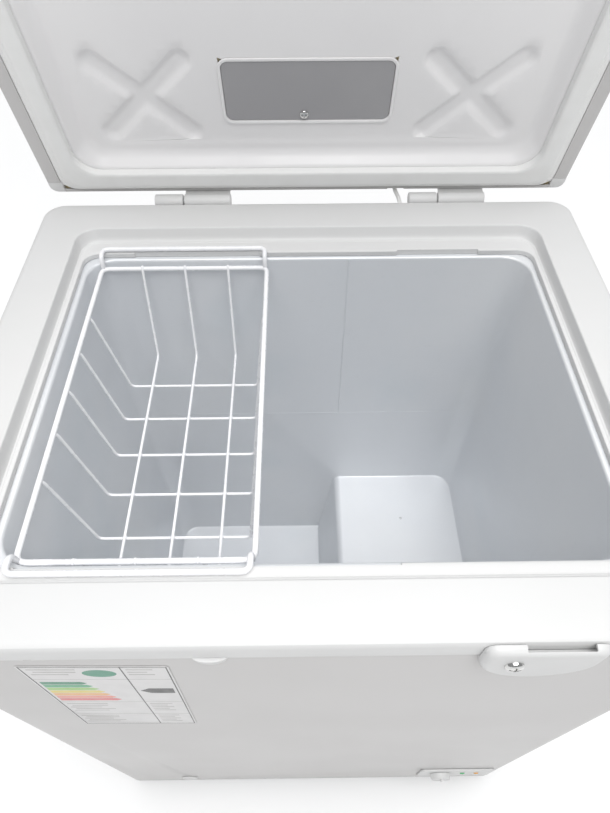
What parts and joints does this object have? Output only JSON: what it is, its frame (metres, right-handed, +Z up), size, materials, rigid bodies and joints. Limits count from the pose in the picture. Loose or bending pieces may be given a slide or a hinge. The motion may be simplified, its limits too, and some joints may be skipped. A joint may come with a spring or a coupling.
{
  "type": "chest freezer",
  "caption": "Compact white chest freezer with a hinged lid standing open, a stepped tank over the compressor and a sliding wire basket hung on the rim.",
  "frame": {"origin": "on the floor, in the middle of the footprint that the cabinet and its open lid cover at rest", "axes": "+Z up, +X to the right seen from the front, +Y from the front to the back"},
  "size_m": [0.624, 0.5854, 1.343],
  "materials": {
    "white_steel": "gloss",
    "white_plastic": "satin",
    "lid_liner_plastic": "satin",
    "tank_aluminium": "satin",
    "seal_pvc": "matte",
    "lamp_lens": "satin",
    "foam": "matte",
    "zinc_steel": "satin",
    "copper_tube": "satin",
    "black_steel": "satin",
    "black_plastic": "matte",
    "rubber": "matte",
    "bright_steel": "polished",
    "coated_wire": "satin",
    "circuit_board": "matte",
    "green_lens": "gloss",
    "amber_lens": "gloss",
    "label_paper": "matte"
  },
  "bodies": {
    "cabinet": {"outer_shell": "white_steel", "rear_panel": "white_steel", "base_pan": "zinc_steel", "foot_front_left": "black_plastic", "foot_back_left": "black_plastic", "foot_front_right": "black_plastic", "foot_back_right": "black_plastic", "top_frame": "white_plastic", "liner": "tank_aluminium", "insulation_foam": "foam", "evaporator_coil": "copper_tube", "condenser_coil": "copper_tube", "drain_stopper": "white_plastic", "drain_cap": "white_plastic", "compressor_rail": "zinc_steel", "compressor": "black_steel", "compressor_grommet_front_left": "rubber", "compressor_grommet_front_right": "rubber", "compressor_grommet_back_left": "rubber", "compressor_grommet_back_right": "rubber", "start_relay_cover": "black_plastic", "suction_line": "copper_tube", "discharge_line": "copper_tube", "filter_drier": "copper_tube", "liquid_line": "copper_tube", "side_grille": "white_plastic", "bay_cover": "zinc_steel", "cord_gland": "black_plastic", "control_panel": "white_plastic", "power_lamp": "green_lens", "running_lamp": "amber_lens", "thermostat_body": "zinc_steel", "lock_catch": "white_plastic", "catch_screw": "bright_steel", "apron_clip": "white_plastic", "energy_label": "label_paper", "hinge_base_left": "white_plastic", "hinge_base_right": "white_plastic", "hinge_pin_left": "zinc_steel", "hinge_pin_right": "zinc_steel", "lamp_lead": "seal_pvc"},
    "lid": {"lid_shell": "white_steel", "lid_corner_cap_left": "white_plastic", "lid_corner_cap_right": "white_plastic", "lid_liner": "lid_liner_plastic", "lid_foam": "foam", "lid_gasket": "seal_pvc", "lamp_housing": "lid_liner_plastic", "lamp_cover": "lamp_lens", "led_board": "circuit_board", "lamp_cover_screw": "bright_steel", "lid_handle": "white_plastic", "hinge_arm_left": "white_plastic", "hinge_arm_right": "white_plastic", "hinge_spring_left": "zinc_steel", "hinge_spring_right": "zinc_steel"},
    "lock": {"lock_cylinder": "bright_steel", "lock_cam": "zinc_steel"},
    "knob": {"thermostat_knob": "white_plastic"},
    "basket": {"wire_basket": "coated_wire"}
  },
  "joints": [
    {"name": "lid_hinge", "type": "hinge", "parent": "cabinet", "child": "lid", "pos_m": [0, 0.24124, 0.7935], "axis": [-1, 0, 0], "range_deg": [-78, 12], "deforming": ["lamp_lead"]},
    {"name": "lock_turn", "type": "hinge", "parent": "lid", "child": "lock", "pos_m": [0.183, 0.15097, 1.32638], "axis": [0, -0.2079, 0.9781], "range_deg": [0, 90]},
    {"name": "thermostat_turn", "type": "hinge", "parent": "cabinet", "child": "knob", "pos_m": [0.206, -0.29076, 0.092], "axis": [0, 1, 0], "range_deg": [0, 270]},
    {"name": "basket_slide", "type": "slide", "parent": "cabinet", "child": "basket", "axis": [1, 0, 0], "range_m": [0, 0.284]}
  ]
}
